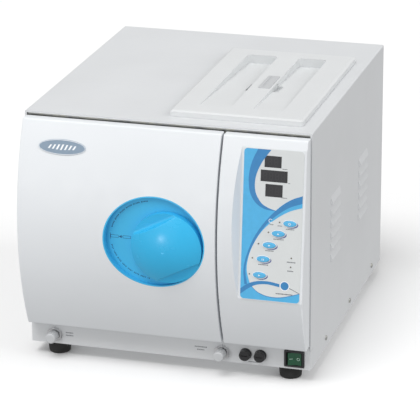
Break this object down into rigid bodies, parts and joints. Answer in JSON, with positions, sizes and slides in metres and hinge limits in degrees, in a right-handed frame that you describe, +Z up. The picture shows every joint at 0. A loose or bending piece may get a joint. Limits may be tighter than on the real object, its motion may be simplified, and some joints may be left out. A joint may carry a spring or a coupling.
{
  "type": "benchtop autoclave",
  "caption": "Benchtop steam autoclave with a round knob on a bulged front door, a leaning key panel, a lift-off tank lid, drain valves, fuses and a mains switch.",
  "frame": {"origin": "centre of the whole object's footprint, at bench height (the underside of the feet)", "axes": "+X to the object's right as a person faces it, +Y from the front to the back, +Z up"},
  "size_m": [0.467, 0.59, 0.4212],
  "materials": {
    "casing_paint": "satin white enamel",
    "cover_white": "moulded, satin",
    "lid_white": "moulded, satin",
    "dish_blue": "moulded, satin",
    "knob_blue": "moulded, soft gloss",
    "badge_blue": "printed foil",
    "membrane_film": "printed film",
    "window_dark": "smoked window",
    "key_blue": "domed film key",
    "lamp": "diffusing lens",
    "circuit": "solder mask",
    "black_rubber": "matte",
    "black_plastic": "moulded",
    "rocker_green": "translucent lens",
    "grey_plastic": "moulded",
    "natural_plastic": "moulded",
    "zinc_steel": "zinc plated",
    "stainless": "bead blasted",
    "stainless_bright": "polished",
    "brass": "turned",
    "copper_line": "drawn tube",
    "mineral_wool": "felt",
    "silicone_seal": "matte",
    "iron_core": "laminated"
  },
  "bodies": {
    "body": {"casing_cover": "casing_paint", "machine_screws": "zinc_steel", "base_tray": "casing_paint", "rubber_feet": "black_rubber", "bulkhead": "zinc_steel", "rear_panel": "casing_paint", "fan_frame": "black_plastic", "bolt_keepers": "zinc_steel", "door_switch": "black_plastic", "hinge_brackets": "zinc_steel", "hinge_pins": "stainless_bright", "control_cover": "cover_white", "membrane": "membrane_film", "display_windows": "window_dark", "indicator_lamps": "lamp", "control_board": "circuit", "drain_valves": "stainless_bright", "fuse_holders": "black_plastic", "switch_bezel": "black_plastic", "water_tank": "natural_plastic", "chamber": "stainless", "flange_bolts": "zinc_steel", "band_heaters": "stainless", "chamber_insulation": "mineral_wool", "tray_rack": "stainless_bright", "sterilising_trays": "stainless_bright", "safety_valve": "brass", "hose_spigots": "brass", "mains_inlet": "black_plastic", "water_pump": "black_plastic", "vacuum_pump": "grey_plastic", "mains_transformer": "iron_core", "solenoid_valves": "brass", "steam_pipes": "copper_line"},
    "door": {"door_cover": "cover_white", "door_badge": "badge_blue", "knob_escutcheon": "dish_blue", "spindle_bush": "brass", "bolt_guides": "zinc_steel", "bridge_plate": "zinc_steel", "pressure_plate": "stainless", "door_gasket": "silicone_seal", "hinge_leaves": "zinc_steel"},
    "knob": {"door_knob": "knob_blue", "knob_spindle": "zinc_steel", "lock_pinion": "zinc_steel"},
    "bolts": {"bolt_carriage": "zinc_steel"},
    "fan": {"fan_rotor": "black_plastic"},
    "lid": {"tank_lid": "lid_white", "lid_grip": "grey_plastic"},
    "rocker": {"switch_rocker": "rocker_green"},
    "drain_tap_left": {"drain_knob_left": "grey_plastic"},
    "drain_tap_right": {"drain_knob_right": "grey_plastic"},
    "fuse_carrier_left": {"fuse_cap_left": "black_plastic"},
    "fuse_carrier_right": {"fuse_cap_right": "black_plastic"},
    "button_top": {"key_top": "key_blue"},
    "button_second": {"key_second": "key_blue"},
    "button_third": {"key_third": "key_blue"},
    "button_fourth": {"key_fourth": "key_blue"},
    "button_start": {"key_start": "key_blue"}
  },
  "joints": [
    {"name": "door_hinge", "type": "hinge", "parent": "body", "child": "door", "pos_m": [-0.22, -0.233, 0.227], "axis": [0, 0, -1], "range_deg": [0, 105]},
    {"name": "knob_turn", "type": "hinge", "parent": "door", "child": "knob", "pos_m": [0.0145, -0.25, 0.2245], "axis": [0, 1, 0], "range_deg": [0, 90]},
    {"name": "bolt_slide", "type": "slide", "parent": "door", "child": "bolts", "axis": [1, 0, 0], "range_m": [0, 0.01572]},
    {"name": "lid_lift", "type": "slide", "parent": "body", "child": "lid", "axis": [0, 0, 1], "range_m": [0, 0.06]},
    {"name": "switch_tilt", "type": "hinge", "parent": "body", "child": "rocker", "pos_m": [0.204, -0.214, 0.0392], "axis": [0, 0, 1], "range_deg": [-14, 0]},
    {"name": "drain_turn_left", "type": "hinge", "parent": "body", "child": "drain_tap_left", "pos_m": [-0.191, -0.23, 0.038], "axis": [0, 1, 0], "range_deg": [-360, 0]},
    {"name": "drain_turn_right", "type": "hinge", "parent": "body", "child": "drain_tap_right", "pos_m": [0.087, -0.23, 0.038], "axis": [0, 1, 0], "range_deg": [-360, 0]},
    {"name": "fuse_turn_left", "type": "hinge", "parent": "body", "child": "fuse_carrier_left", "pos_m": [0.1255, -0.22, 0.039], "axis": [0, 1, 0], "range_deg": [-90, 0]},
    {"name": "fuse_turn_right", "type": "hinge", "parent": "body", "child": "fuse_carrier_right", "pos_m": [0.1495, -0.22, 0.039], "axis": [0, 1, 0], "range_deg": [-90, 0]},
    {"name": "fan_spin", "type": "hinge", "parent": "body", "child": "fan", "pos_m": [0.15, 0.266, 0.132], "axis": [0, 1, 0], "continuous": true},
    {"name": "key_press_top", "type": "slide", "parent": "body", "child": "button_top", "axis": [0, 0.9934, -0.115], "range_m": [0, 0.001], "stiffness_N_per_m": 500},
    {"name": "key_press_second", "type": "slide", "parent": "body", "child": "button_second", "axis": [0, 0.9934, -0.115], "range_m": [0, 0.001], "stiffness_N_per_m": 500},
    {"name": "key_press_third", "type": "slide", "parent": "body", "child": "button_third", "axis": [0, 0.9934, -0.115], "range_m": [0, 0.001], "stiffness_N_per_m": 500},
    {"name": "key_press_fourth", "type": "slide", "parent": "body", "child": "button_fourth", "axis": [0, 0.9934, -0.115], "range_m": [0, 0.001], "stiffness_N_per_m": 500},
    {"name": "key_press_start", "type": "slide", "parent": "body", "child": "button_start", "axis": [0, 0.9934, -0.115], "range_m": [0, 0.001], "stiffness_N_per_m": 500}
  ],
  "couplings": [
    {"joint": "bolt_slide", "follows": "knob_turn", "m_per_rad": 0.01}
  ]
}
